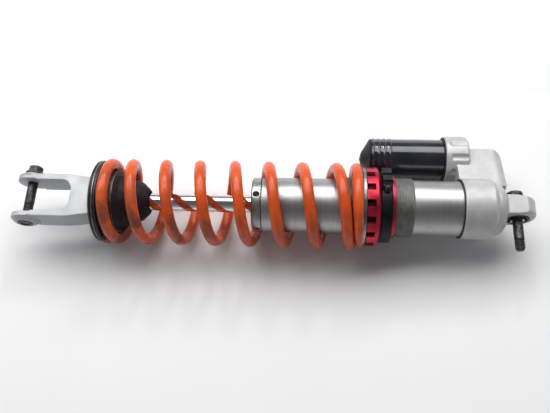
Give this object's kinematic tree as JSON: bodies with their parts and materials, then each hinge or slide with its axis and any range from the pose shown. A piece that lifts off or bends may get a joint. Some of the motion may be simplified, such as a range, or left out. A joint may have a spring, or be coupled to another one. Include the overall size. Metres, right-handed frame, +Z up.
{
  "type": "coil-over rear shock absorber",
  "caption": "Motorcycle coil-over rear shock with piggyback gas reservoir, threaded preload collar, orange coil spring, upper spherical eye and lower fork clevis.",
  "frame": {"origin": "centre of the upper eye's spherical bearing", "axes": "+X along the damper from the lower clevis to the upper eye, +Y along the mounting bolts towards their heads, +Z up as the shock lies on its spring and reservoir cap"},
  "size_m": [0.5386, 0.1341, 0.089],
  "materials": {
    "cast_aluminium": "satin",
    "machined_aluminium": "turned satin",
    "forged_aluminium": "bead blasted",
    "black_anodised": "glossy, worn",
    "orange_paint": "gloss powder coat, worn",
    "crimson_anodised": "satin anodised",
    "adjuster_anodised": "anodised",
    "chrome_steel": "polished",
    "dark_steel": "black oxide, worn",
    "zinc_steel": "plain steel",
    "bearing_steel": "ground",
    "black_rubber": "matt",
    "bump_foam": "dark elastomer",
    "black_plastic": "satin",
    "seal_plastic": "filled PTFE"
  },
  "bodies": {
    "damper_body": {"shock_head": "cast_aluminium", "eye_bearing_race": "bearing_steel", "eye_seals": "black_rubber", "eye_circlips": "dark_steel", "damper_tube": "machined_aluminium", "gland_nut": "machined_aluminium", "dust_wiper": "black_rubber", "seal_head": "machined_aluminium", "seal_head_oring": "black_rubber", "rod_seal": "black_rubber", "guide_bush": "seal_plastic", "tube_seal": "black_rubber", "reservoir_tube": "black_anodised", "reservoir_end_cap": "black_anodised", "gas_valve": "zinc_steel", "reservoir_seal": "black_rubber", "compression_valve_body": "adjuster_anodised", "compression_valve_piston": "zinc_steel", "compression_valve_shims": "zinc_steel", "spring": "orange_paint"},
    "eye_ball": {"eye_ball": "bearing_steel"},
    "eye_bolt": {"eye_bolt": "dark_steel", "eye_spacers": "zinc_steel"},
    "separator": {"separator_piston": "adjuster_anodised", "separator_seal": "black_rubber"},
    "high_speed_adjuster": {"high_speed_adjuster": "adjuster_anodised"},
    "low_speed_adjuster": {"low_speed_adjuster": "zinc_steel"},
    "low_speed_needle": {"low_speed_needle": "zinc_steel"},
    "rod_assembly": {"piston_rod": "chrome_steel", "topout_bumper": "black_rubber", "compression_shims": "zinc_steel", "piston": "machined_aluminium", "piston_band": "seal_plastic", "rebound_shims": "zinc_steel", "piston_nut": "zinc_steel", "spring_seat": "black_plastic", "seat_washer": "zinc_steel", "spring_guide": "black_plastic", "bump_stop_cup": "zinc_steel", "bump_stop": "bump_foam", "clevis": "forged_aluminium", "clevis_thread_insert": "dark_steel", "clevis_bolt": "dark_steel"},
    "rebound_adjuster": {"rebound_adjuster": "zinc_steel"},
    "rebound_needle": {"rebound_needle": "machined_aluminium"},
    "preload_washer": {"thrust_washer": "zinc_steel"},
    "preload_collar": {"preload_collar": "crimson_anodised", "clamp_ring": "black_anodised", "clamp_screw": "dark_steel"}
  },
  "joints": [
    {"name": "eye_tilt", "type": "hinge", "parent": "damper_body", "child": "eye_ball", "pos_m": [0, 0, 0], "axis": [0, 0, 1], "range_deg": [-5, 5]},
    {"name": "eye_bolt_turn", "type": "hinge", "parent": "eye_ball", "child": "eye_bolt", "pos_m": [0, 0, 0], "axis": [0, -1, 0], "continuous": true},
    {"name": "rod_slide", "type": "slide", "parent": "damper_body", "child": "rod_assembly", "axis": [1, 0, 0], "range_m": [0, 0.13], "stiffness_N_per_m": 45000, "springref_m": -0.008, "deforming": ["spring", "bump_stop"]},
    {"name": "separator_slide", "type": "slide", "parent": "damper_body", "child": "separator", "axis": [-1, 0, 0], "range_m": [0, 0.028]},
    {"name": "preload_slide", "type": "slide", "parent": "damper_body", "child": "preload_washer", "axis": [1, 0, 0], "range_m": [-0.0091, 0.0091], "deforming": ["spring"]},
    {"name": "preload_turn", "type": "hinge", "parent": "preload_washer", "child": "preload_collar", "pos_m": [-0.14, 0, 0], "axis": [1, 0, 0], "range_deg": [-2160, 2160]},
    {"name": "high_speed_turn", "type": "hinge", "parent": "damper_body", "child": "high_speed_adjuster", "pos_m": [-0.022, 0.05754, -0.017], "axis": [0, 0.959, -0.2833], "range_deg": [-360, 360]},
    {"name": "low_speed_turn", "type": "hinge", "parent": "damper_body", "child": "low_speed_adjuster", "pos_m": [-0.022, 0.05754, -0.017], "axis": [0, 0.959, -0.2833], "range_deg": [-541, 541]},
    {"name": "low_speed_needle_slide", "type": "slide", "parent": "damper_body", "child": "low_speed_needle", "axis": [0, 0.959, -0.2833], "range_m": [-0.001, 0.001]},
    {"name": "rebound_turn", "type": "hinge", "parent": "rod_assembly", "child": "rebound_adjuster", "pos_m": [-0.447, 0, -0.012], "axis": [0, 0, -1], "range_deg": [0, 1081]},
    {"name": "rebound_needle_slide", "type": "slide", "parent": "rod_assembly", "child": "rebound_needle", "axis": [1, 0, 0], "range_m": [0, 0.003]}
  ],
  "couplings": [
    {"joint": "separator_slide", "follows": "rod_slide", "ratio": 0.213},
    {"joint": "preload_slide", "follows": "preload_turn", "m_per_rad": 0.00023873},
    {"joint": "low_speed_turn", "follows": "low_speed_needle_slide", "rad_per_m": 9424.8},
    {"joint": "rebound_turn", "follows": "rebound_needle_slide", "rad_per_m": 6283.2}
  ]
}
